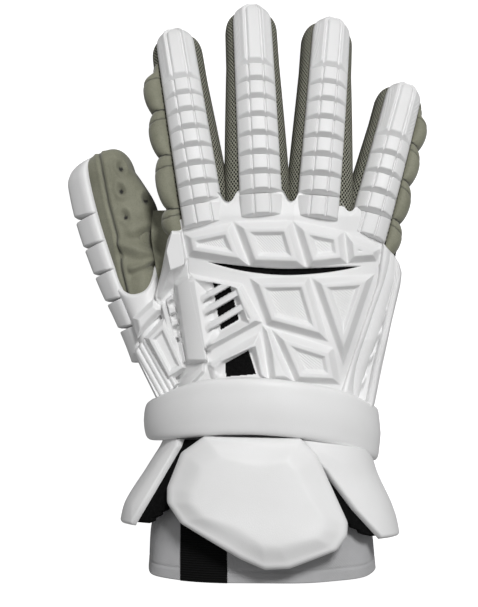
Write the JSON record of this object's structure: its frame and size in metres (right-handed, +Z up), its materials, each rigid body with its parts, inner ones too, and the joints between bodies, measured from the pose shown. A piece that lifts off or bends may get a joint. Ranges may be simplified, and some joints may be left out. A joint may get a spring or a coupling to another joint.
{
  "type": "lacrosse glove",
  "caption": "Right-hand padded glove with segmented finger backs, tiled back of the hand, mesh finger sides, leather palm, wrist roll and flared cuff.",
  "frame": {"origin": "centre of the glove's footprint, at the surface it lies on palm down", "axes": "+Y towards the fingertips, +Z up out of the back of the hand, -X to the thumb side"},
  "size_m": [0.2018, 0.3204, 0.0955],
  "materials": {
    "leather": "matt olive grey synthetic leather",
    "mesh": "open knitted mesh, dark olive",
    "white_pad": "smooth white synthetic leather over foam",
    "cuff_cloth": "pale grey woven cuff",
    "black_lining": "black knitted lining and elastic"
  },
  "bodies": {
    "root": {"index_front": "leather", "index_gusset": "mesh", "index_back": "white_pad", "middle_front": "leather", "middle_gusset": "mesh", "middle_back": "white_pad", "ring_front": "leather", "ring_gusset": "mesh", "ring_back": "white_pad", "little_front": "leather", "little_gusset": "mesh", "little_back": "white_pad", "index_side_roll": "leather", "little_side_roll": "leather", "thumb_stall": "leather", "thumb_side": "leather", "thumb_back": "white_pad", "palm": "leather", "back_liner": "black_lining", "knuckle_pad": "white_pad", "back_pad": "white_pad", "index_side_block": "white_pad", "thumb_base_pad": "white_pad", "outer_rail": "white_pad", "wrist_roll": "white_pad", "wrist_cuff": "cuff_cloth", "cuff_elastic": "black_lining", "cuff_shield": "white_pad", "cuff_wing_thumb": "white_pad", "wing_lining_thumb": "black_lining", "cuff_wing_outer": "white_pad", "wing_lining_outer": "black_lining"}
  },
  "joints": []
}
